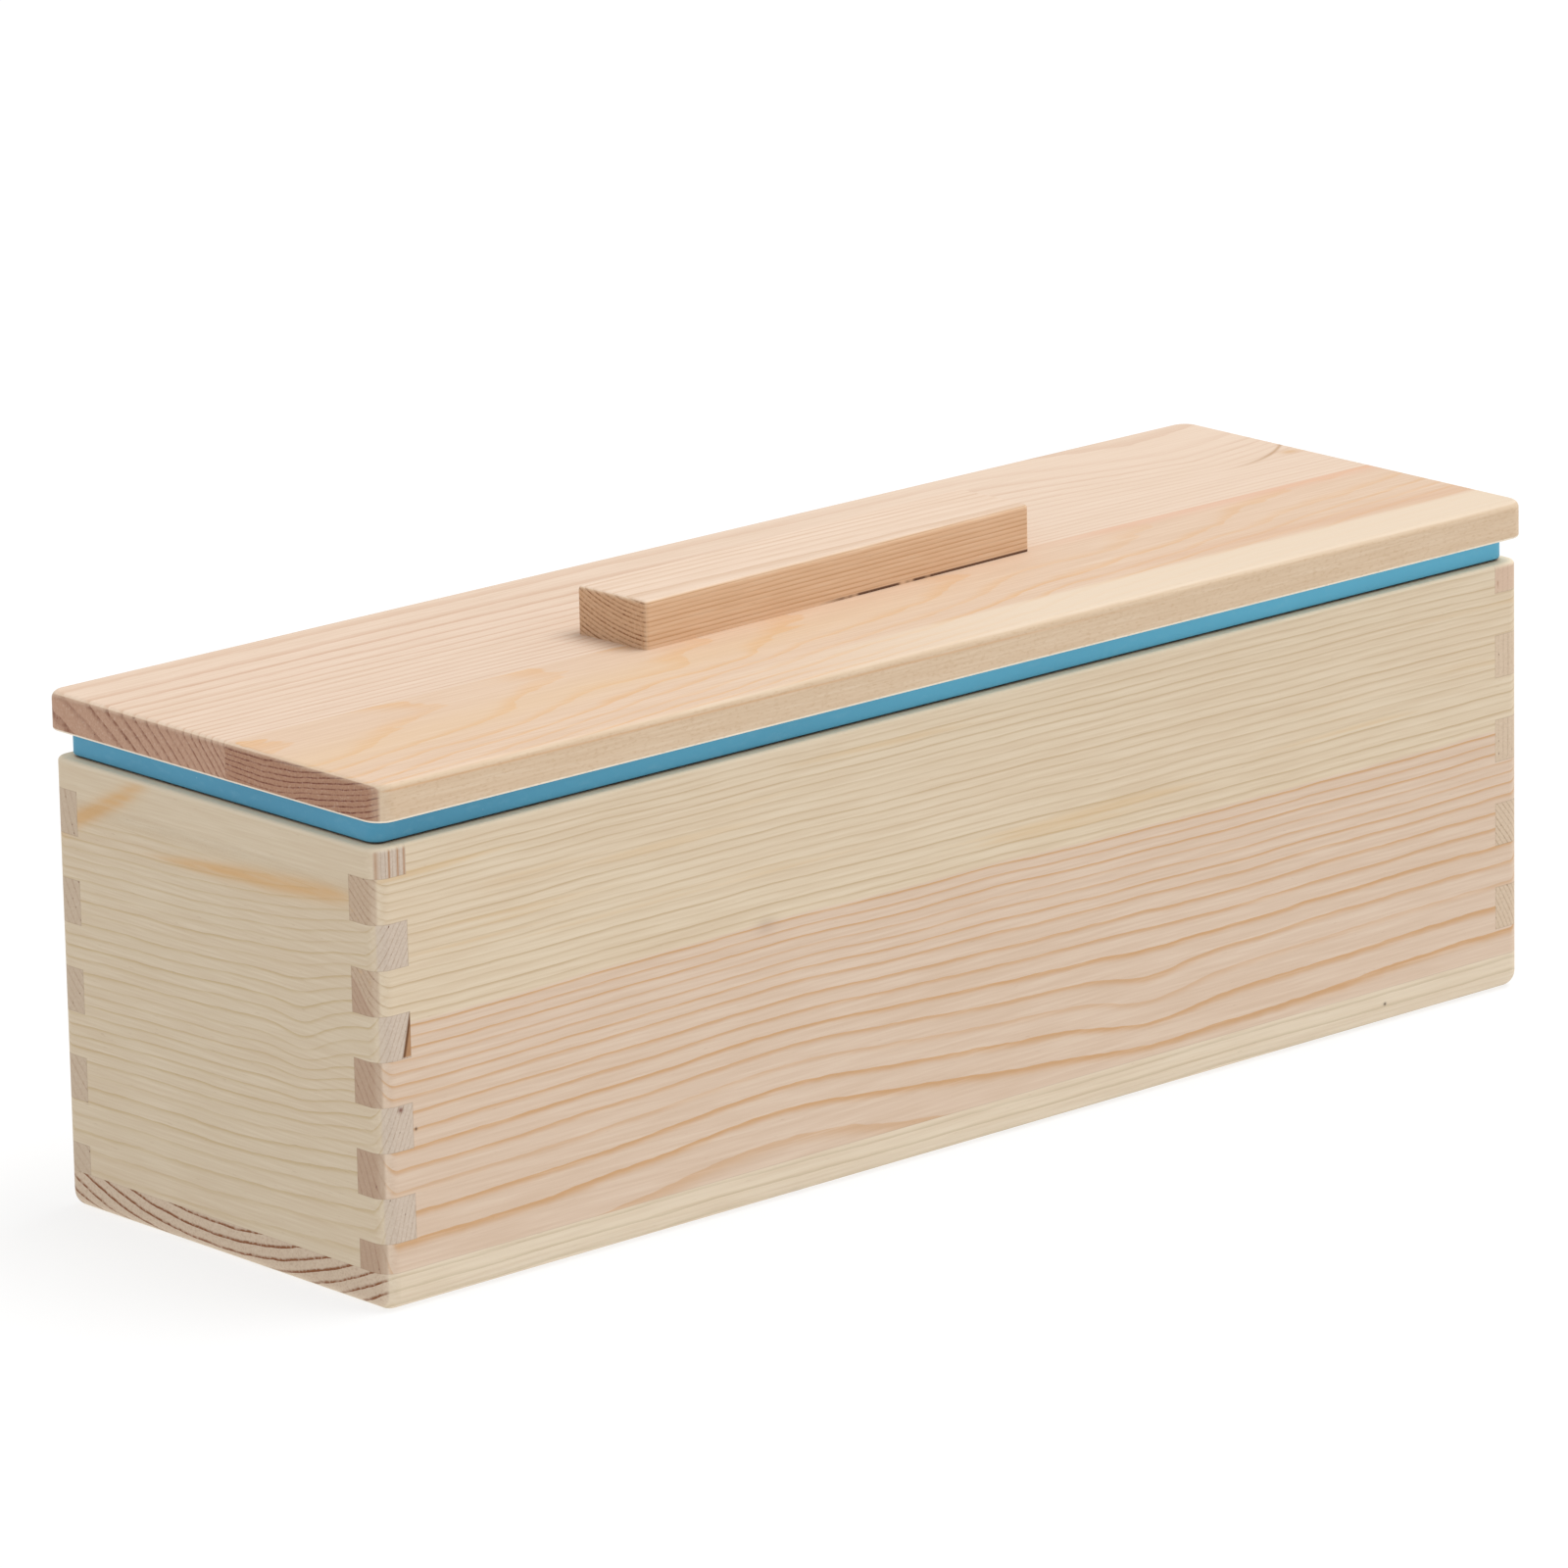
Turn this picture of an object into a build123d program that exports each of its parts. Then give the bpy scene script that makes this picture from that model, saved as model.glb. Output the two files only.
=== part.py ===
from build123d import *
import os

# Butter mold: a finger-jointed pine box, a silicone liner that hangs in it by its rim,
# and a loose pine lid with a bar handle.
#
# Frame, in millimetres: the origin is the middle of the box's underside, +X runs along the
# box's length, -Y is the front and +Z is up.

# Box
BOX_LENGTH = 280.4
BOX_WIDTH = 89.4
BOX_HEIGHT = 83.4
BOARD = 7.0                 # thickness of every board of the box and the lid
CORNER_RADIUS = 3.2         # sanded vertical corners
BOTTOM_ROUND = 3.0          # round-over along the bottom edges
TOP_EASE = 0.8              # sanded outer top edges

# Finger joints: full fingers of one pitch, with a part finger left over at each end
FINGER_PITCH = 8.2
FULL_FINGERS = 8

# Silicone liner
RIM_LENGTH = 276.2
RIM_WIDTH = 85.1
RIM_HEIGHT = 4.8
RIM_CORNER = 2.6
RIM_EDGE = 0.7              # moulded radius along the rim's edges
LINER_CLEARANCE = 0.6       # gap to the walls at the top of the tray
LINER_GAP_BELOW = 0.4       # gap to the bottom board, so that the rim carries the liner
LINER_WALL = 2.4
LINER_FLOOR = 3.0
LINER_CORNER = 5.0          # plan radius of the tray's outer corners
LINER_FOOT = 3.0            # radius where the tray's walls turn into its floor
DRAFT = 1.0                 # degrees

# Lid
LID_LENGTH = 280.5
LID_WIDTH = 92.4
LID_CORNER = 3.8
LID_TOP_ROUND = 1.4
LID_UNDER_EASE = 0.4
GLUE_LINE_Y = -5.0          # where the two staves meet

# Handle, glued on by eye and so a little out of line with the lid
HANDLE_LENGTH = 97.0
HANDLE_WIDTH = 18.0
HANDLE_HEIGHT = 9.0
HANDLE_TURN = 2.0           # degrees, counter-clockwise from above
HANDLE_CORNER = 0.9
HANDLE_EASE = 0.8

# Levels that follow from the sizes above
RIM_TOP = BOX_HEIGHT + RIM_HEIGHT
LID_TOP = RIM_TOP + BOARD
END_FINGER = (BOX_HEIGHT - BOARD - FULL_FINGERS * FINGER_PITCH) / 2


def rounded_block(length, width, low, high, corner):
    """An upright block centred on the Z axis, with rounded corners in plan."""
    outline = Plane.XY.offset(low) * RectangleRounded(length, width, corner)
    return extrude(outline, high - low)


def span_block(x_span, y_span, z_span):
    """An axis-aligned block between two values on each axis."""
    low = [min(span) for span in (x_span, y_span, z_span)]
    high = [max(span) for span in (x_span, y_span, z_span)]
    size = [top - base for top, base in zip(high, low)]
    return Pos(*low) * Box(*size, align=(Align.MIN, Align.MIN, Align.MIN))


def bottom_edges(part):
    return part.edges().group_by(Axis.Z)[0]


def top_edges(part):
    return part.edges().group_by(Axis.Z)[-1]


def finger_levels():
    """Heights of the finger joints' shoulders, from the bottom board to the top of the box."""
    inner = [BOARD + END_FINGER + FINGER_PITCH * step for step in range(FULL_FINGERS + 1)]
    return [BOARD] + inner + [BOX_HEIGHT]


def finger_zones(first):
    """Every second (low, high) height span of the joint, starting with number first."""
    levels = finger_levels()
    spans = list(zip(levels[:-1], levels[1:]))
    return spans[first::2]


LONG_WALL_ZONES = finger_zones(0)   # where the front and rear walls run through to the ends
END_WALL_ZONES = finger_zones(1)    # where the end walls run through to the front and rear

HALF_LENGTH = BOX_LENGTH / 2
HALF_WIDTH = BOX_WIDTH / 2
FULL_X = (-HALF_LENGTH, HALF_LENGTH)
FULL_Y = (-HALF_WIDTH, HALF_WIDTH)


def box_envelope():
    """The outside shape of the finished box, as one sanded block."""
    block = rounded_block(BOX_LENGTH, BOX_WIDTH, 0, BOX_HEIGHT, CORNER_RADIUS)
    block = fillet(bottom_edges(block), BOTTOM_ROUND)
    return fillet(top_edges(block), TOP_EASE)


ENVELOPE = box_envelope()


def corner_columns(x_sides, y_sides, zones):
    """Blocks that fill the box's corner columns at the given heights."""
    return [
        span_block((x_side * (HALF_LENGTH - BOARD), x_side * HALF_LENGTH),
                   (y_side * (HALF_WIDTH - BOARD), y_side * HALF_WIDTH),
                   zone)
        for x_side in x_sides
        for y_side in y_sides
        for zone in zones
    ]


def shaped(board):
    """The board's share of the sanded envelope."""
    return (board & ENVELOPE).solid()


def long_wall(side):
    """Front (side -1) or rear (side 1) wall, notched where the end walls' fingers pass."""
    board = span_block(FULL_X, (side * (HALF_WIDTH - BOARD), side * HALF_WIDTH), (BOARD, BOX_HEIGHT))
    return shaped(board - corner_columns((-1, 1), (side,), END_WALL_ZONES))


def end_wall(side):
    """Left (side -1) or right (side 1) wall, notched where the long walls' fingers pass."""
    board = span_block((side * (HALF_LENGTH - BOARD), side * HALF_LENGTH), FULL_Y, (BOARD, BOX_HEIGHT))
    return shaped(board - corner_columns((side,), (-1, 1), LONG_WALL_ZONES))


def bottom_board():
    return shaped(span_block(FULL_X, FULL_Y, (0, BOARD)))


def drafted_block(length, width, top, low, corner):
    """A block that narrows downwards from its top by the mould's draft."""
    outline = Plane.XY.offset(top) * RectangleRounded(length, width, corner)
    return extrude(outline, top - low, dir=(0, 0, -1), taper=DRAFT)


def silicone_liner():
    """Tray with drafted walls, under a solid rim that rests on the box's top edge."""
    tray_length = BOX_LENGTH - 2 * (BOARD + LINER_CLEARANCE)
    tray_width = BOX_WIDTH - 2 * (BOARD + LINER_CLEARANCE)
    tray_bottom = BOARD + LINER_GAP_BELOW
    tray = drafted_block(tray_length, tray_width, BOX_HEIGHT, tray_bottom, LINER_CORNER)
    tray = fillet(bottom_edges(tray), LINER_FOOT)

    rim = rounded_block(RIM_LENGTH, RIM_WIDTH, BOX_HEIGHT, RIM_TOP, RIM_CORNER)
    rim = fillet(top_edges(rim), RIM_EDGE)
    rim = fillet(bottom_edges(rim), RIM_EDGE)

    cavity = drafted_block(tray_length - 2 * LINER_WALL, tray_width - 2 * LINER_WALL,
                           RIM_TOP, tray_bottom + LINER_FLOOR, LINER_CORNER - LINER_WALL / 2)
    cavity = fillet(bottom_edges(cavity), LINER_FOOT)
    return (tray + rim - cavity).solid()


def lid_staves():
    """The lid's front and rear staves, cut from one rounded panel along the glue line."""
    panel = rounded_block(LID_LENGTH, LID_WIDTH, RIM_TOP, LID_TOP, LID_CORNER)
    panel = fillet(top_edges(panel), LID_TOP_ROUND)
    panel = fillet(bottom_edges(panel), LID_UNDER_EASE)
    x_span = (-LID_LENGTH, LID_LENGTH)
    z_span = (RIM_TOP, LID_TOP)
    front = panel & span_block(x_span, (-LID_WIDTH, GLUE_LINE_Y), z_span)
    rear = panel & span_block(x_span, (GLUE_LINE_Y, LID_WIDTH), z_span)
    return front.solid(), rear.solid()


def lid_handle():
    bar = rounded_block(HANDLE_LENGTH, HANDLE_WIDTH, LID_TOP, LID_TOP + HANDLE_HEIGHT, HANDLE_CORNER)
    bar = fillet(top_edges(bar), HANDLE_EASE)
    return (Rot(0, 0, HANDLE_TURN) * bar).solid()


lid_front_stave, lid_rear_stave = lid_staves()
NODES = {
    "bottom_board": bottom_board(),
    "front_wall": long_wall(-1),
    "rear_wall": long_wall(1),
    "left_end_wall": end_wall(-1),
    "right_end_wall": end_wall(1),
    "silicone_liner": silicone_liner(),
    "lid_front_stave": lid_front_stave,
    "lid_rear_stave": lid_rear_stave,
    "lid_handle": lid_handle(),
}

os.makedirs("parts", exist_ok=True)
for name, solid in NODES.items():
    solid.label = name
    export_step(solid, f"parts/{name}.step")
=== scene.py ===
import math

import bmesh
import bpy
from mathutils import Matrix, Vector, noise


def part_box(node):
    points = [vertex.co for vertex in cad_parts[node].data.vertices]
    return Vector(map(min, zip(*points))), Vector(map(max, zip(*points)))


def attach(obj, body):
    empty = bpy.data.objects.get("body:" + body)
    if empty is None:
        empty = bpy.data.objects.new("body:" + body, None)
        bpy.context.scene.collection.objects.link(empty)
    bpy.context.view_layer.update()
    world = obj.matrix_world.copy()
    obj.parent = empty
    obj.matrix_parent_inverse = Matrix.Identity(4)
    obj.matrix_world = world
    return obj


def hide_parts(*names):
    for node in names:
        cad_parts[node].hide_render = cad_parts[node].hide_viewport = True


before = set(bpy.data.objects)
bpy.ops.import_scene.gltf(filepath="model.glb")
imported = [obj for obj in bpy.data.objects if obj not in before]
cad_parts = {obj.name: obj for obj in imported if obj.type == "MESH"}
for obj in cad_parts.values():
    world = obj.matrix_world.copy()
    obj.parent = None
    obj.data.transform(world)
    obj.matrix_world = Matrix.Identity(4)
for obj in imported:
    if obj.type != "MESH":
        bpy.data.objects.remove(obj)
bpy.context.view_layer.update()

MM = 0.001


# ---------------------------------------------------------------- places, from the frame, in mm

def node_box(name):
    """Lowest and highest corner of a CAD node, in millimetres."""
    low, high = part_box(name)
    return low / MM, high / MM


HALF_LENGTH, HALF_WIDTH, BOARD = node_box("bottom_board")[1]
RIM_HALF_LENGTH, RIM_HALF_WIDTH, RIM_TOP = node_box("silicone_liner")[1]
BOX_TOP = node_box("front_wall")[1].z
LID_TOP = node_box("lid_front_stave")[1].z

FINGER_PITCH = 8.2
FULL_FINGERS = 8
END_FINGER = (BOX_TOP - BOARD - FULL_FINGERS * FINGER_PITCH) / 2   # the shorter finger at each end


# ---------------------------------------------------------------- camera, light and floor

CAMERA_TARGET = Vector((-3.71, 3.15, 58.98)) * MM
CAMERA_DISTANCE = 1.912      # metres
CAMERA_AZIMUTH = -41.556     # degrees from the front, negative to the left
CAMERA_ELEVATION = 15.453
CAMERA_ROLL = -1.163
CAMERA_LENS = 239.72         # millimetres, on a sensor of SENSOR millimetres
SENSOR = 36.0


def add_camera():
    """The photo's view: a long lens, from above the front left."""
    azimuth = math.radians(CAMERA_AZIMUTH)
    elevation = math.radians(CAMERA_ELEVATION)
    back = Vector((math.sin(azimuth) * math.cos(elevation),
                   -math.cos(azimuth) * math.cos(elevation),
                   math.sin(elevation)))
    right = (-back).cross(Vector((0, 0, 1))).normalized()
    up = back.cross(right)
    turn = Matrix((right, up, back)).transposed() @ Matrix.Rotation(math.radians(CAMERA_ROLL), 3, "Z")
    data = bpy.data.cameras.new("camera")
    data.lens = CAMERA_LENS
    data.sensor_width = SENSOR
    data.clip_end = 50
    camera = bpy.data.objects.new("camera", data)
    place = CAMERA_TARGET + back * CAMERA_DISTANCE
    camera.matrix_world = Matrix.LocRotScale(place, turn.to_quaternion(), None)
    bpy.context.scene.collection.objects.link(camera)
    bpy.context.scene.camera = camera


SKY = 0.66                               # brightness of the surrounding white room
KEY_STRENGTH = 1.75
KEY_FROM = Vector((0.36, -0.18, 0.90))   # from above, a little to the right and to the front
KEY_SPREAD = 40                          # degrees, so its shadows are soft
FLOOR_GLOW = 0.75
FLOOR_TONE = 0.25
FLOOR_HALF = 6.0                         # metres


def add_studio():
    """A white room with one broad light from above, and a white table."""
    scene = bpy.context.scene
    scene.view_settings.view_transform = "Standard"
    world = bpy.data.worlds.new("studio")
    world.use_nodes = True
    world.node_tree.nodes["Background"].inputs["Color"].default_value = (1, 1, 1, 1)
    world.node_tree.nodes["Background"].inputs["Strength"].default_value = SKY
    scene.world = world

    data = bpy.data.lights.new("key", "SUN")
    data.energy = KEY_STRENGTH
    data.angle = math.radians(KEY_SPREAD)
    key = bpy.data.objects.new("key", data)
    key.location = KEY_FROM
    key.rotation_euler = (-KEY_FROM).to_track_quat("-Z", "Y").to_euler()
    scene.collection.objects.link(key)

    # The table glows a little itself, so that shadows on it stay faint
    mesh = bpy.data.meshes.new("floor")
    corners = [(x * FLOOR_HALF, y * FLOOR_HALF, 0) for x, y in ((-1, -1), (1, -1), (1, 1), (-1, 1))]
    mesh.from_pydata(corners, [], [(0, 1, 2, 3)])
    floor = bpy.data.objects.new("floor", mesh)
    material = bpy.data.materials.new("floor")
    material.use_nodes = True
    shader = material.node_tree.nodes["Principled BSDF"]
    shader.inputs["Base Color"].default_value = (FLOOR_TONE, FLOOR_TONE, FLOOR_TONE, 1)
    shader.inputs["Emission Color"].default_value = (1, 1, 1, 1)
    shader.inputs["Emission Strength"].default_value = FLOOR_GLOW
    shader.inputs["Roughness"].default_value = 0.9
    shader.inputs["Specular IOR Level"].default_value = 0.1
    mesh.materials.append(material)
    scene.collection.objects.link(floor)


# ---------------------------------------------------------------- node arithmetic

def linear(red, green, blue):
    """An sRGB colour given from 0 to 255, as the linear RGBA that shaders take."""
    def channel(value):
        share = value / 255
        return share / 12.92 if share <= 0.04045 else ((share + 0.055) / 1.055) ** 2.4
    return (channel(red), channel(green), channel(blue), 1.0)


class Graph:
    """One material, whose nodes are made by writing arithmetic on Value objects."""

    def __init__(self, name):
        self.material = bpy.data.materials.new(name)
        self.material.use_nodes = True
        self.tree = self.material.node_tree
        self.shader = self.tree.nodes["Principled BSDF"]

    def node(self, kind, **settings):
        node = self.tree.nodes.new(kind)
        for key, value in settings.items():
            setattr(node, key, value)
        return node

    def join(self, value, socket):
        """Feeds a socket from a Value, or sets it to a plain number, colour or vector."""
        if isinstance(value, Value):
            self.tree.links.new(value.socket, socket)
        else:
            socket.default_value = value

    def position(self):
        """x, y and z on the piece at rest, in millimetres."""
        coords = self.node("ShaderNodeTexCoord")
        parts = self.node("ShaderNodeSeparateXYZ")
        self.tree.links.new(coords.outputs["Object"], parts.inputs[0])
        return [Value(self, out) * (1 / MM) for out in parts.outputs]

    def facing(self):
        """How squarely the surface faces x, y and z at rest, each from 0 to 1."""
        coords = self.node("ShaderNodeTexCoord")
        parts = self.node("ShaderNodeSeparateXYZ")
        self.tree.links.new(coords.outputs["Normal"], parts.inputs[0])
        return [Value(self, out).abs() for out in parts.outputs]

    def vector(self, x, y, z):
        node = self.node("ShaderNodeCombineXYZ")
        for value, socket in zip((x, y, z), node.inputs):
            self.join(value, socket)
        return Value(self, node.outputs[0])

    def noise(self, vector, detail):
        """Smooth noise from 0 to 1, with features one unit of the vector across."""
        node = self.node("ShaderNodeTexNoise")
        self.join(vector, node.inputs["Vector"])
        node.inputs["Scale"].default_value = 1.0
        node.inputs["Detail"].default_value = detail
        return Value(self, node.outputs[0])

    def dice(self, value):
        """A random number from 0 to 1 for each whole value."""
        node = self.node("ShaderNodeTexWhiteNoise", noise_dimensions="1D")
        self.join(value, node.inputs["W"])
        return Value(self, node.outputs[0])

    def mix(self, share, first, second):
        """A colour between two colours."""
        node = self.node("ShaderNodeMix", data_type="RGBA")
        self.join(share, node.inputs[0])
        self.join(first, node.inputs[6])
        self.join(second, node.inputs[7])
        return Value(self, node.outputs[2])

    def bump(self, height, depth):
        """Surface relief of a height from 0 to 1, where 1 stands depth millimetres proud."""
        node = self.node("ShaderNodeBump")
        node.inputs["Strength"].default_value = 1.0
        node.inputs["Distance"].default_value = depth * MM
        self.join(height, node.inputs["Height"])
        self.tree.links.new(node.outputs[0], self.shader.inputs["Normal"])

    def gauss(self, place, centre, width):
        """A smooth hump of height 1 around a centre."""
        offset = (place - centre) / width
        return (offset * offset * -1).exp()


class Value:
    """A shader socket that can be written in arithmetic."""

    def __init__(self, graph, socket):
        self.graph = graph
        self.socket = socket

    def math(self, operation, *others):
        node = self.graph.node("ShaderNodeMath", operation=operation)
        for value, socket in zip((self, *others), node.inputs):
            self.graph.join(value, socket)
        return Value(self.graph, node.outputs[0])

    def __add__(self, other):
        return self.math("ADD", other)

    def __sub__(self, other):
        return self.math("SUBTRACT", other)

    def __mul__(self, other):
        return self.math("MULTIPLY", other)

    def __truediv__(self, other):
        return self.math("DIVIDE", other)

    def __rsub__(self, other):
        return self * -1 + other

    __radd__ = __add__

    def power(self, exponent):
        return self.math("POWER", exponent)

    def root(self):
        return self.math("SQRT")

    def exp(self):
        return self.math("EXPONENT")

    def abs(self):
        return self.math("ABSOLUTE")

    def floor(self):
        return self.math("FLOOR")

    def fraction(self):
        return self.math("FRACT")

    def at_most(self, other):
        return self.math("MINIMUM", other)

    def at_least(self, other):
        return self.math("MAXIMUM", other)

    def step(self, low, high):
        """0 below low, 1 above high, and a smooth step between them. High may be the lower one."""
        node = self.graph.node("ShaderNodeMapRange", interpolation_type="SMOOTHSTEP", clamp=True)
        self.graph.join(self, node.inputs[0])
        flip = high < low
        node.inputs[1].default_value = min(low, high)
        node.inputs[2].default_value = max(low, high)
        node.inputs[3].default_value = 1.0 if flip else 0.0
        node.inputs[4].default_value = 0.0 if flip else 1.0
        return Value(self.graph, node.outputs[0])


# ---------------------------------------------------------------- pine

WOOD_CLOUD = (204, 172, 140)
FIBRE_DARK = (186, 152, 116)
FIBRE_PALE = (240, 226, 206)
PORE = (150, 108, 72)
END_PALE = (235, 225, 212)
RESIN_DUCT = (96, 52, 34)
SEAM = (128, 98, 70)
SANDED = (238, 222, 198)


class Pine:
    """Solid pine for one board: growth rings around a pith line that runs along the grain.

    The pith is given by its place in the two directions across the grain. Rings run outwards from
    it: pale early wood that darkens into a line of late wood and then starts again.
    Every place and width on a board is in millimetres, in the part's own frame at rest.
    """

    def __init__(self, name, grain, pith, seed):
        self.graph = Graph(name)
        self.x, self.y, self.z = self.graph.position()
        self.seed = seed
        self.facing_x, self.facing_y, self.facing_z = self.graph.facing()
        self.up = self.z
        if grain == "x":
            self.along, self.side, facing_end = self.x, self.y, self.facing_x
        else:
            self.along, self.side, facing_end = self.y, self.x, self.facing_y
        self.end = facing_end.step(0.60, 0.76)      # 1 on end grain
        self.pith_side, self.pith_up = pith

    def streaks(self, length, width, detail=2.0, seed=0.0):
        """Noise drawn out along the grain."""
        return self.graph.noise(self.graph.vector(self.along / length + (self.seed + seed),
                                                  self.side / width + (self.seed * 1.7 + seed),
                                                  self.up / width + seed), detail)

    def radius(self, side_shift=0.0, up_shift=0.0):
        """Distance from the pith line, in millimetres."""
        side = self.side - self.pith_side - side_shift
        up = self.up - self.pith_up - up_shift
        return (side * side + up * up).root()

    def on_top(self):
        """1 on the board's top and bottom faces."""
        return self.facing_z.step(0.6, 0.9)

    def spot(self, across, centre, width, above, level, height):
        """A soft oval mark of strength 1 at its centre."""
        return self.graph.gauss(across, centre, width) * self.graph.gauss(above, level, height)

    def finish(self, rings, tones, end_tones, other=0.0, other_tones=None, late_start=0.6,
               contrast=1.0, end_contrast=1.0, wander=0.3, marks=(), seams=()):
        """The material, from the ring number.

        Tones are (early wood, late wood). Other is the share of other_tones: heartwood, or a face
        that has aged differently. Marks are (share, colour) pairs laid over the wood, and seams
        are shares of a thin dark line.
        """
        graph = self.graph
        rings = rings + (self.streaks(90, 9, 2.0, 3.1) - 0.5) * wander
        rings = rings + (self.streaks(16, 4, 1.0, 5.3) - 0.5) * (wander * 0.5)
        rings = rings + (self.streaks(4, 2.5, 1.0, 9.9) - 0.5) * (wander * 0.35)
        part = rings.fraction()
        strength = graph.dice(rings.floor() + self.seed) * 0.6 + 0.5
        late = part.step(late_start, 0.95).power(1.3) * part.step(1.0, 0.965) * strength

        early = linear(*tones[0])
        dark = linear(*tones[1])
        if other_tones:
            early = graph.mix(other, early, linear(*other_tones[0]))
            dark = graph.mix(other, dark, linear(*other_tones[1]))
        colour = graph.mix((late * contrast).at_most(1.0), early, dark)

        # Slow clouds, fibres and pores
        cloud = self.streaks(55, 9, 2.0, 7.7).step(0.3, 0.75)
        colour = graph.mix(cloud * 0.10, colour, linear(*WOOD_CLOUD))
        fibre = self.streaks(16, 0.5, 3.0, 11.3)
        colour = graph.mix(fibre.step(0.42, 0.72) * 0.15, colour, linear(*FIBRE_DARK))
        colour = graph.mix(fibre.step(0.5, 0.28) * 0.16, colour, linear(*FIBRE_PALE))
        pore = self.streaks(2.6, 0.28, 1.0, 17.9).step(0.72, 0.80)
        colour = graph.mix(pore * (1 - self.end) * 0.16, colour, linear(*PORE))

        # End grain: the same rings cut across, broken into dots by the fibres' mouths
        speckle = graph.noise(graph.vector(self.along / 0.4, self.side / 0.4, self.up / 0.4), 2.0)
        mouths = graph.noise(graph.vector(self.along / 9, self.side / 0.8, self.up / 0.8), 1.0)
        line = (late * (mouths.step(0.3, 0.65) * 0.7 + 0.5) * end_contrast).at_most(1.0)
        end_colour = graph.mix(line, linear(*end_tones[0]), linear(*end_tones[1]))
        end_colour = graph.mix(speckle.step(0.45, 0.75) * 0.22, end_colour, linear(*end_tones[1]))
        end_colour = graph.mix(speckle.step(0.45, 0.25) * 0.14, end_colour, linear(*END_PALE))
        duct = mouths.step(0.70, 0.76) * late.step(0.1, 0.4)
        end_colour = graph.mix(duct * 0.75, end_colour, linear(*RESIN_DUCT))
        colour = graph.mix(self.end, colour, end_colour)

        for share, shade in marks:
            colour = graph.mix(share, colour, linear(*shade))
        for share in seams:
            colour = graph.mix(share * 0.22, colour, linear(*SEAM))

        # Sanded arrises, a little paler and smoother than the faces
        square = self.facing_x.at_least(self.facing_y).at_least(self.facing_z)
        wear = (1 - square).step(0.02, 0.2) * (self.streaks(12, 6, 2.0, 23.0).step(0.2, 0.7) * 0.6 + 0.4)
        colour = graph.mix(wear * 0.22, colour, linear(*SANDED))

        graph.join(colour, graph.shader.inputs["Base Color"])
        roughness = 0.60 + fibre * 0.16 - late * 0.10 - wear * 0.08 + speckle * self.end * 0.14
        graph.join(roughness, graph.shader.inputs["Roughness"])
        graph.shader.inputs["Specular IOR Level"].default_value = 0.3
        relief = late * 0.3 + fibre * 0.4 + (1 - pore) * 0.3 + speckle * self.end * 0.5
        graph.bump(relief, 0.04)
        return graph.material


HAIR = 0.12               # half the width of a closed joint's line


def hairline(distance):
    """1 on a joint's line, from the distance to it."""
    return distance.abs().step(HAIR, HAIR * 0.4)


def base_seam(pine):
    """The line where the walls meet the bottom board."""
    return hairline(pine.z - BOARD) * 0.6


def corner_seams(pine):
    """Hairlines where the fingers of two walls meet, and where the walls meet the bottom board."""
    level = (pine.z - (BOARD + END_FINGER)) / FINGER_PITCH
    phase = (level + 0.5).fraction() - 0.5
    shoulder = hairline(phase * FINGER_PITCH)
    past_x = pine.x.abs() - (HALF_LENGTH - BOARD)
    past_y = pine.y.abs() - (HALF_WIDTH - BOARD)
    corner = past_x.step(-0.1, 0.0) * past_y.step(-0.1, 0.0)
    odd = (level.floor() / 2).fraction() * 2      # 1 where the long walls run through, else 0
    side_x = hairline(past_x) * pine.facing_y * (1 - odd)
    side_y = hairline(past_y) * pine.facing_x * odd
    return [shoulder * corner, side_x, side_y, base_seam(pine)]


FRONT_SAP = ((222, 204, 177), (200, 177, 143))
FRONT_HEART = ((219, 195, 173), (206, 162, 118))
WALL_END = ((196, 172, 147), (170, 140, 116))
REAR_END = ((200, 180, 157), (180, 154, 131))
LEDGE_PAINTED_LIGHT = (243, 229, 205)                  # painted light: the walls' top face, painted paler than their faces against the shade under the rim


def front_wall():
    pine = Pine("pine_front_wall", "x", (39.5, -9.5), 1.0)
    graph = pine.graph
    # A swelling and a hollow in the rings, both fading out up the board, and one small dip
    low = ((10 - pine.z) / 22).exp().at_most(1.0)
    swell = graph.gauss(pine.x, -48, 38) * low * 5.5
    hollow = graph.gauss(pine.x, 64, 48) * low * -2.6
    dip = graph.gauss(pine.x, 42, 13) * graph.gauss(pine.z, 18, 8) * -2.6
    wave = (pine.streaks(38, 30, 2.0, 1.0) - 0.5) * 1.6
    radius = pine.radius(up_shift=swell + hollow + dip + wave)
    rings = (radius - 84.15) * 0.70 + (radius - 97).at_least(0) * 0.19
    heart = radius.step(104.2, 103.7)
    amber = (pine.streaks(70, 2.2, 1.0, 9.0).step(0.62, 0.8) * radius.step(103, 106)) * 0.35
    smudge = pine.spot(pine.x, -51, 2.4, pine.z, 51.7, 1.4) * pine.facing_y
    speck = pine.spot(pine.x, -132.6, 0.3, pine.z, 32.1, 0.3)
    dark_end = heart * pine.end * 0.45
    # Painted light: the wall's top face is painted pale against the shade under the rim
    marks = [(amber, (214, 176, 120)), (dark_end, (172, 138, 116)), (pine.facing_z, LEDGE_PAINTED_LIGHT),
             (speck * 0.9, (70, 40, 26)), (smudge * 0.35, (170, 146, 128))]
    return pine.finish(rings, FRONT_SAP, WALL_END, heart, FRONT_HEART, end_contrast=1.1, wander=0.25,
                       marks=marks, seams=corner_seams(pine))


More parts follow.
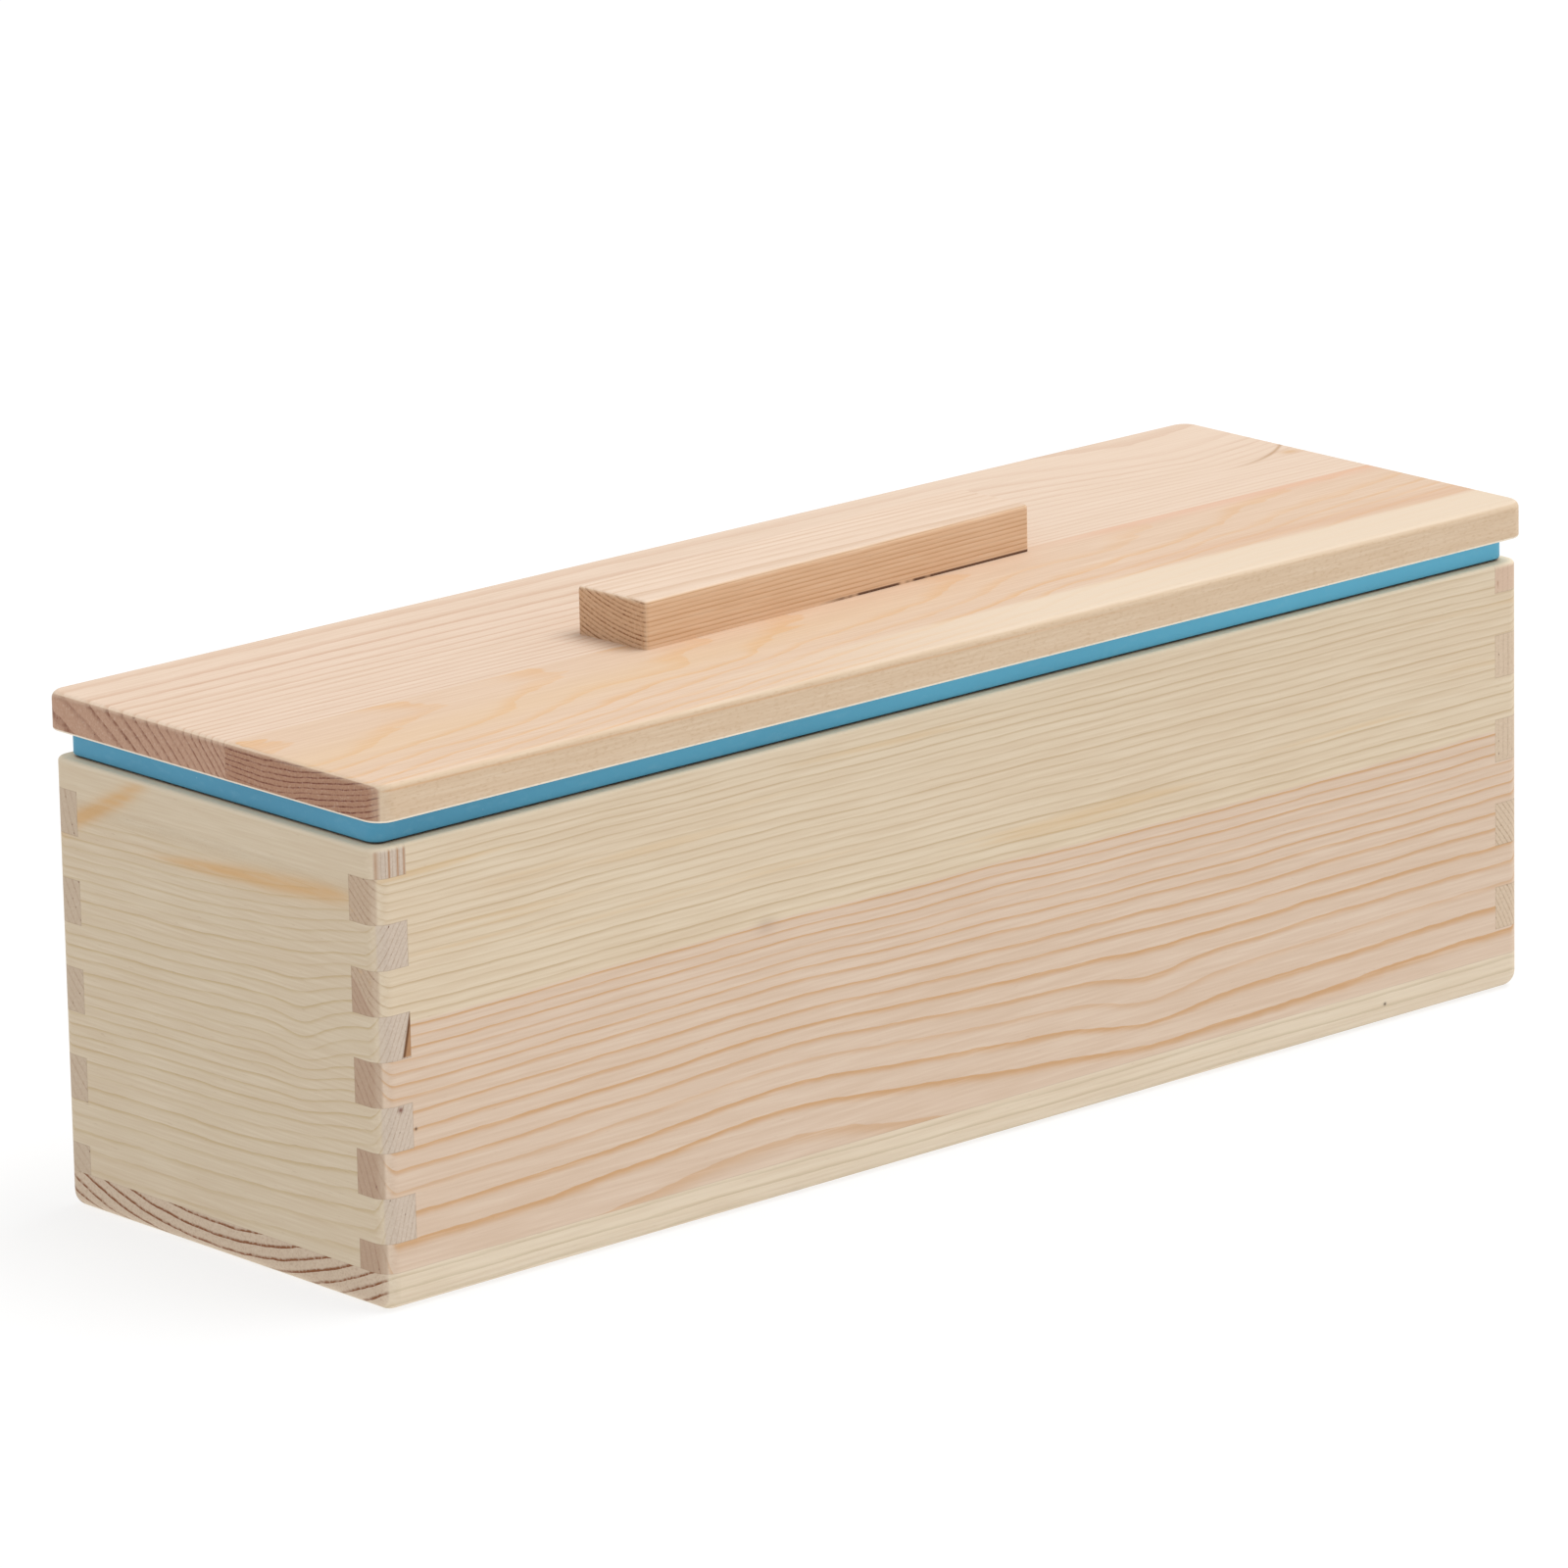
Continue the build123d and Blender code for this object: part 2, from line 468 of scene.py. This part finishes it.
def rear_wall():
    pine = Pine("pine_rear_wall", "x", (-30.0, 100.0), 2.0)
    bend = (pine.streaks(80, 60, 2.0, 1.0) - 0.5) * 9.0
    radius = pine.radius(side_shift=bend)
    heart = radius.step(100, 92)
    # Painted light: the wall's top face is painted pale against the shade under the rim
    return pine.finish(radius / 1.7, FRONT_SAP, REAR_END, heart, FRONT_HEART, end_contrast=0.8,
                       marks=[(pine.facing_z, LEDGE_PAINTED_LIGHT)], seams=corner_seams(pine))


END_WALL = ((214, 197, 171), (198, 176, 138))
END_WALL_END = ((207, 190, 173), (170, 144, 120))
END_WALL_RIGHT = ((214, 192, 167), (166, 138, 110))


def left_end_wall():
    pine = Pine("pine_left_end_wall", "y", (-30.0, -4.0), 3.0)
    graph = pine.graph
    fall = graph.gauss(pine.y, -50, 26) * 4.8 - pine.y * 0.025
    dent = graph.gauss(pine.y, -24, 7) * graph.gauss(pine.z, 45, 12) * -2.4
    wave = (pine.streaks(34, 26, 2.0, 1.0) - 0.5) * 2.4
    radius = pine.radius(up_shift=fall + dent + wave)
    upper = pine.z.step(73.5, 77.5)
    flat = (pine.x + 140.6) * 1.3
    rings = (radius - 110) - (44 - pine.z).at_least(0) * 0.14
    rings = rings * (1 - upper) + flat * upper

    # Two streaks of resin near the top
    taper = pine.y.step(26, -18) * 1.15 + 0.4
    first = graph.gauss((pine.z - 73.7 + (pine.y + 37) * 0.06) / taper, 0.0, 1.15)
    first = first * pine.y.step(-43, -31) * pine.y.step(26, 2)
    second = graph.gauss(pine.z, 83.4 - (pine.y - 17) * 0.50, 1.8)
    second = second * pine.y.step(14, 25) * pine.y.step(46, 38)
    ragged = pine.streaks(13, 1.4, 2.0, 4.0).step(0.2, 0.62) * 0.45 + 0.55
    resin = (first + second * 1.1).at_most(1.0) * ragged * (1 - pine.end)

    # On the front fingers: a pitch pocket, a dark speck, and late-wood stripes on the top one
    across = pine.x - (-135.1 + (pine.z - 45.4) * 0.22)
    front = pine.y.step(-30, -40) * pine.end
    inside = pine.z.step(45.2, 45.6) * pine.z.step(53.8, 53.2) * front
    pocket = across.step(0.0, 0.25) * inside
    rim = graph.gauss(across, 0.35, 0.32) * inside
    speck = pine.spot(pine.x, -135.9, 0.55, pine.z, 36.2, 0.5) * front
    stripes = (graph.gauss(pine.x, -139.3, 0.5) + graph.gauss(pine.x, -136.8, 0.26)
               + graph.gauss(pine.x, -134.9, 0.22) + graph.gauss(pine.x, -133.5, 0.2))
    stripes = stripes.at_most(1.0) * upper * front
    # Painted light: the last mark paints the wall's top face pale against the shade under the rim
    marks = [(resin * 0.88, (212, 170, 118)), (pocket * 0.8, (170, 116, 62)), (rim * 0.9, (92, 54, 24)),
             (speck * 0.85, (112, 54, 36)), (stripes * 0.8, (172, 124, 84)), (pine.facing_z, LEDGE_PAINTED_LIGHT)]
    return pine.finish(rings, END_WALL, END_WALL_END, late_start=0.62, contrast=0.9 - upper * 0.9,
                       end_contrast=0.6, wander=0.35, marks=marks, seams=corner_seams(pine))


def right_end_wall():
    pine = Pine("pine_right_end_wall", "y", (80.0, -12.0), 4.0)
    bend = (pine.streaks(50, 40, 2.0, 1.0) - 0.5) * 4.0
    radius = pine.radius(side_shift=bend)
    low = pine.z.step(46, 38)
    upright = (pine.x - 133) * 0.8
    rings = radius / 0.95 * low + upright * (1 - low)
    top = pine.z.step(77, 79) * pine.y.step(-30, -40) * pine.end
    crack = pine.graph.gauss(pine.x, 133.9, 0.22) * pine.streaks(3, 3, 2.0, 6.0).step(0.4, 0.6) * top
    # Painted light: the last mark paints the wall's top face pale against the shade under the rim
    marks = [(top * 0.5, (214, 180, 158)), (crack * 0.8, (150, 96, 62)), (pine.facing_z, LEDGE_PAINTED_LIGHT)]
    return pine.finish(rings, END_WALL, END_WALL_RIGHT, contrast=0.8, end_contrast=low * 0.4 + 0.35,
                       marks=marks, seams=corner_seams(pine))


BOTTOM = ((226, 210, 186), (201, 184, 154))
BOTTOM_END = ((208, 187, 164), (134, 84, 50))


def bottom_board():
    pine = Pine("pine_bottom_board", "x", (2.0, 98.0), 5.0)
    bend = (pine.streaks(90, 60, 2.0, 1.0) - 0.5) * 3.0
    radius = pine.radius(up_shift=bend)
    dot = pine.spot(pine.x, 103.5, 0.35, pine.z, 4.0, 0.3) * pine.y.step(-40, -44)
    return pine.finish(radius / 2.15, BOTTOM, BOTTOM_END, late_start=0.62, end_contrast=1.8, wander=0.25,
                       marks=[(dot * 0.9, (60, 40, 30))], seams=[base_seam(pine)])


LID_TOP_TONES = ((225, 201, 180), (208, 173, 147))
LID_FRONT_TONES = ((220, 192, 167), (221, 178, 134))
LID_EDGE_TONES = ((217, 192, 163), (206, 178, 146))
LID_END_REAR = ((190, 152, 128), (142, 98, 76))
LID_END_FRONT = ((176, 134, 108), (116, 64, 48))
LID_UNDER_HIGHLIGHT = (250, 240, 222)              # painted highlight: the lid's underside and the foot of its edges, near white for the light the lower arris catches


def lid_under_highlight(pine):
    """Painted highlight on the lid's underside, which takes in the lowest 0.3 mm of its edges: a
    near-white line along the lower arris that stands in for the light it catches.
    """
    return ((pine.z - RIM_TOP).step(0.5, 0.3) * 0.8, LID_UNDER_HIGHLIGHT)


def lid_rear_stave():
    pine = Pine("pine_lid_rear_stave", "x", (80.0, 12.0), 6.0)
    graph = pine.graph
    wave = (pine.streaks(110, 60, 2.0, 1.0) - 0.5) * 2.5
    sweep = pine.x.step(66, 142) * ((pine.y - 4) / 26).at_least(0).at_most(1.0) * -17
    curl = (pine.x - 118).at_least(0) * pine.y.step(8, 20) * 0.35
    radius = pine.radius(side_shift=wave + sweep + curl)
    depth = radius - 95
    rings = depth * 0.36 + depth * depth * 0.0104
    # A knot near the right end, with a darker line that curls towards it
    lash_y = 11.6 + ((pine.x - 119) / 18).at_least(0).power(2.2) * 5.5
    lash = graph.gauss(pine.y, lash_y, 0.5) * pine.x.step(116, 133) * pine.facing_z
    knot = pine.spot(pine.x, 136.3, 2.2, pine.y, 13.2, 1.3) * pine.facing_z
    pale = pine.x.step(-60, 120) * pine.facing_z * 0.4
    marks = [(pale, (229, 207, 186)), (knot * 0.6, (205, 158, 104)), (lash * 0.6, (172, 128, 82)),
             lid_under_highlight(pine)]
    return pine.finish(rings, LID_EDGE_TONES, LID_END_REAR, pine.on_top(), LID_TOP_TONES,
                       late_start=0.5, contrast=0.9, marks=marks)


def lid_front_stave():
    pine = Pine("pine_lid_front_stave", "x", (-10.0, 195.2), 7.0)
    graph = pine.graph
    rise = (pine.x + 140) * 0.03 - (pine.x - 40).at_least(0) * 0.015
    wave = (pine.streaks(42, 16, 3.0, 1.0) - 0.5) * 1.8
    aside = (pine.x - 10).at_least(0) * 0.09 + pine.x.step(-150, 0) * 4 - 4
    turn = graph.gauss(pine.y, aside - 10, 3.6)
    radius = pine.radius(side_shift=aside, up_shift=rise + wave)
    on_top = pine.on_top()
    right = pine.x.step(20, 90)
    blush = graph.gauss(pine.y, -5.8, 2.6) * pine.x.step(45, 75) * on_top
    band = graph.gauss(pine.y, -29.5 - (pine.x - 70) * 0.02, 2.6) * right * on_top
    strip = pine.y.step(-32.5, -35.0) * pine.x.step(-70, 30) * on_top
    front = pine.facing_y.step(0.7, 0.95)
    vein = graph.gauss(pine.z, LID_TOP - 1.7 - pine.x * 0.003, 0.22) * front * pine.x.step(70, -20)
    flecks = graph.noise(graph.vector(pine.x / 1.1, pine.y, pine.z / 0.45), 2.0)
    fleck = flecks.step(0.5, 0.72) * front
    heart_side = graph.gauss(pine.y, -19 + pine.x * 0.05, 7) * pine.x.step(60, -40) * on_top
    marks = [(blush * 0.55, (224, 178, 152)), (band * 0.45, (212, 170, 138)),
             (strip * 0.75, (229, 212, 189)), (heart_side * 0.34, (222, 190, 148)),
             lid_under_highlight(pine), (vein * 0.55, (208, 160, 114)), (fleck * 0.30, (190, 156, 118))]
    contrast = on_top * (0.6 - turn * 0.42 - right * 0.35) + 0.35
    return pine.finish(radius - 100.1, LID_EDGE_TONES, LID_END_FRONT, on_top, LID_FRONT_TONES,
                       late_start=0.55, contrast=contrast, end_contrast=1.15, wander=0.35, marks=marks)


HANDLE_FRONT = ((230, 194, 160), (200, 156, 116))
HANDLE_TOP = ((230, 206, 185), (216, 186, 160))
HANDLE_END = ((218, 182, 148), (152, 106, 72))


def lid_handle():
    pine = Pine("pine_handle", "x", (-12.0, 141.0), 8.0)
    wave = (pine.streaks(110, 60, 2.0, 1.0) - 0.5) * 0.8
    radius = pine.radius(side_shift=wave)
    # Painted shade: a dark line at the foot of the handle's front, over its right half and broken where it
    # starts, for the shadow of a glue line that is open there
    glue_gap_shadow = (pine.z - LID_TOP).step(0.60, 0.35) * pine.x.step(-6, 4) * pine.facing_y.step(0.3, 0.6)
    broken = pine.graph.noise(pine.graph.vector(pine.x / 7, 0.0, 0.0), 2.0).step(0.38, 0.5)
    glue_gap_shadow = glue_gap_shadow * (pine.x.step(22, 30) + broken).at_most(1.0) * pine.y.step(0.0, -1.0)
    return pine.finish(radius / 0.87, HANDLE_FRONT, HANDLE_END, pine.on_top(), HANDLE_TOP,
                       late_start=0.35, wander=0.25, marks=[(glue_gap_shadow * 0.9, (74, 34, 12))])


PINE = {
    "front_wall": front_wall,
    "rear_wall": rear_wall,
    "left_end_wall": left_end_wall,
    "right_end_wall": right_end_wall,
    "bottom_board": bottom_board,
    "lid_rear_stave": lid_rear_stave,
    "lid_front_stave": lid_front_stave,
    "lid_handle": lid_handle,
}


def dress_boards():
    """Gives each board its own pine. The boards keep their CAD meshes."""
    for name, make in PINE.items():
        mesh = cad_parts[name].data
        mesh.materials.clear()
        mesh.materials.append(make())


# ---------------------------------------------------------------- silicone liner

WALL_GAP = 0.6            # between the tray and the box walls, at the top
TRAY_BASE = BOARD + 0.4   # the tray hangs clear of the bottom board
TRAY_CORNER = 5.0         # plan radius of the tray's outer corners
TRAY_FOOT = 3.0           # radius where the tray's walls turn into its floor
SKIN = 2.4                # thickness of the tray's walls
FLOOR_SKIN = 3.0
DRAFT = math.tan(math.radians(1.0))
RIM_EDGE = 0.6            # radius along the rim's edges
RIM_CORNER = 2.6          # plan radius of the rim's corners
MOUTH_EDGE = 0.5          # radius around the cavity's mouth
UNDERCUT = 0.22           # the rim's lip stands this far off the wall's top edge
LIP_REACH = 2.4           # how far in from the rim's edge the undercut goes
LID_GAP = 0.03            # the rim's top stays this far below the lid
WAVINESS = 0.0009         # how far the moulded walls stray, as a share of their distance from the middle
ARC_STEPS = 8             # faces around each corner
LONG_RUN = 44             # faces along each long side
SHORT_RUN = 14            # faces along each end


def rounded_loop(half_x, half_y, corner):
    """Points of a rounded rectangle, counter-clockwise, evenly placed along its straight runs."""
    centres = [(half_x - corner, half_y - corner, 0), (corner - half_x, half_y - corner, 90),
               (corner - half_x, corner - half_y, 180), (half_x - corner, corner - half_y, 270)]
    arcs = []
    for centre_x, centre_y, start in centres:
        angles = [math.radians(start + 90 * step / ARC_STEPS) for step in range(ARC_STEPS + 1)]
        arcs.append([(centre_x + corner * math.cos(angle), centre_y + corner * math.sin(angle))
                     for angle in angles])
    points = []
    for number, arc in enumerate(arcs):
        points += arc
        last = arc[-1]
        after = arcs[(number + 1) % 4][0]
        runs = SHORT_RUN if number % 2 else LONG_RUN
        for step in range(1, runs):
            share = step / runs
            points.append((last[0] + (after[0] - last[0]) * share, last[1] + (after[1] - last[1]) * share))
    return points


def quarter(steps, start):
    """(cosine, sine) pairs over a quarter turn from a start angle in degrees."""
    angles = [math.radians(start + 90 * step / steps) for step in range(steps + 1)]
    return [(math.cos(angle), math.sin(angle)) for angle in angles]


def liner_sections():
    """(half length, half width, corner, height) of each loop.

    They run from the underside of the tray's floor up its walls, round the rim, and down inside.
    """
    tray_x = HALF_LENGTH - BOARD - WALL_GAP
    tray_y = HALF_WIDTH - BOARD - WALL_GAP
    sections = []

    def outside(inset, height):
        taper = (BOX_TOP - height) * DRAFT
        sections.append((tray_x - taper - inset, tray_y - taper - inset,
                         max(TRAY_CORNER - inset, 1.2), height))

    def rim(inset, height):
        sections.append((RIM_HALF_LENGTH - inset, RIM_HALF_WIDTH - inset,
                         max(RIM_CORNER - inset, 0.6), height))

    def inside(inset, height):
        taper = (RIM_TOP - height) * DRAFT
        sections.append((tray_x - SKIN - taper - inset, tray_y - SKIN - taper - inset,
                         max(TRAY_CORNER - SKIN / 2 - inset, 0.8), height))

    # The tray's outside, up to the top of the box
    for cosine, sine in quarter(5, -90):
        outside(TRAY_FOOT * (1 - cosine), TRAY_BASE + TRAY_FOOT * (1 + sine))
    for share in (0.25, 0.5, 0.75, 0.995):
        outside(0, TRAY_BASE + TRAY_FOOT + (BOX_TOP - TRAY_BASE - TRAY_FOOT) * share)
    outside(0, BOX_TOP)

    # The rim rests on the walls, then its lip is undercut out to its rounded edge
    rim(LIP_REACH + 0.5, BOX_TOP)
    rim(LIP_REACH, BOX_TOP + 0.02)
    rim(LIP_REACH - 0.5, BOX_TOP + UNDERCUT)
    for cosine, sine in quarter(4, -90):
        rim(RIM_EDGE * (1 - cosine), BOX_TOP + UNDERCUT + RIM_EDGE * (1 + sine))
    rim(0, (BOX_TOP + RIM_TOP) / 2)
    top = RIM_TOP - LID_GAP
    for cosine, sine in quarter(4, 0):
        rim(RIM_EDGE * (1 - cosine), top - RIM_EDGE * (1 - sine))

    # Across the rim's flat top, over the cavity's mouth and down to its floor
    inside(-1.6, top)
    for cosine, sine in quarter(3, 90):
        inside(-MOUTH_EDGE * (1 + cosine), top - MOUTH_EDGE * (1 - sine))
    floor = TRAY_BASE + FLOOR_SKIN
    for share in (0.05, 0.3, 0.6):
        inside(0, RIM_TOP - 0.6 - (RIM_TOP - floor - TRAY_FOOT) * share)
    for cosine, sine in reversed(quarter(5, -90)):
        inside(TRAY_FOOT * (1 - cosine), floor + TRAY_FOOT * (1 + sine))
    inside(18, floor)
    return sections


def add_liner():
    """One closed silicone mesh, skinned over the sections, in place of the plain CAD liner."""
    mesh = bpy.data.meshes.new("liner_skin")
    build = bmesh.new()
    loops = []
    for half_x, half_y, corner, height in liner_sections():
        loop = []
        for x, y in rounded_loop(half_x, half_y, corner):
            place = Vector((x, y, height))
            slow = noise.noise(Vector((x / 45, y / 45, height / 30 + 4.0)))
            swell = 1 + slow * WAVINESS
            loop.append(build.verts.new((place.x * swell * MM, place.y * swell * MM, place.z * MM)))
        loops.append(loop)
    for lower, upper in zip(loops[:-1], loops[1:]):
        for number in range(len(lower)):
            after = (number + 1) % len(lower)
            build.faces.new((lower[number], lower[after], upper[after], upper[number]))
    build.faces.new(reversed(loops[0]))
    build.faces.new(loops[-1])
    for face in build.faces:
        face.smooth = True
    build.to_mesh(mesh)
    build.free()
    mesh.materials.append(silicone())
    skin = bpy.data.objects.new("liner_skin", mesh)
    bpy.context.scene.collection.objects.link(skin)
    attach(skin, "liner")
    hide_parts("silicone_liner")


SILICONE_DEEP_AND_SHADED = (71, 146, 180)
SILICONE_PALE_AND_LIT = (94, 182, 216)
BLOOM = (150, 196, 214)
LINT = (206, 222, 226)
UNDER_LIP_SHADOW = (8, 18, 24)                  # painted shade: a near-black line under the rim, for the shadow in the gap beneath its lip


def silicone():
    """Satin moulded silicone with a faint bloom and lint on it, with painted light that makes it darker to
    the left and lighter to the right, and a painted shadow line under the rim.
    """
    graph = Graph("blue_silicone")
    x, y, z = graph.position()
    cloud = graph.noise(graph.vector(x / 60, y / 40, z / 14), 2.0)
    # Painted light: three quarters of this share is a gradient, darker at the left end and lighter to the
    # right, for how the light falls; the rest is a slow cloud of the silicone's own tone
    painted_light_and_cloud = x.step(-150, 70) * 0.75 + cloud.step(0.3, 0.7) * 0.25
    colour = graph.mix(painted_light_and_cloud, linear(*SILICONE_DEEP_AND_SHADED), linear(*SILICONE_PALE_AND_LIT))
    bloom = graph.noise(graph.vector(x / 3.2, y / 3.2, z / 1.4), 4.0)
    colour = graph.mix(bloom.step(0.5, 0.8) * 0.12, colour, linear(*BLOOM))
    lint = graph.noise(graph.vector(x / 0.7, y / 0.7, z / 0.5), 1.0).step(0.80, 0.86)
    colour = graph.mix(lint * 0.4, colour, linear(*LINT))
    # Painted shade: a near-black band just under the rim's lip, on its outside only, for the shadow in the
    # gap between the lip and the walls
    past_x = x.abs() - (RIM_HALF_LENGTH - LIP_REACH)
    past_y = y.abs() - (RIM_HALF_WIDTH - LIP_REACH)
    lip = (z - BOX_TOP - UNDERCUT).abs().step(0.30, 0.22) * past_x.at_least(past_y).step(0.0, 0.3)
    colour = graph.mix(lip, colour, linear(*UNDER_LIP_SHADOW))
    graph.join(colour, graph.shader.inputs["Base Color"])
    grain = graph.noise(graph.vector(x / 0.5, y / 0.5, z / 0.5), 2.0)
    graph.join(0.40 + grain * 0.14 + bloom * 0.10, graph.shader.inputs["Roughness"])
    graph.shader.inputs["Specular IOR Level"].default_value = 0.4
    graph.bump(grain * 0.6 + bloom * 0.4, 0.03)
    return graph.material


add_camera()
add_studio()
dress_boards()
add_liner()
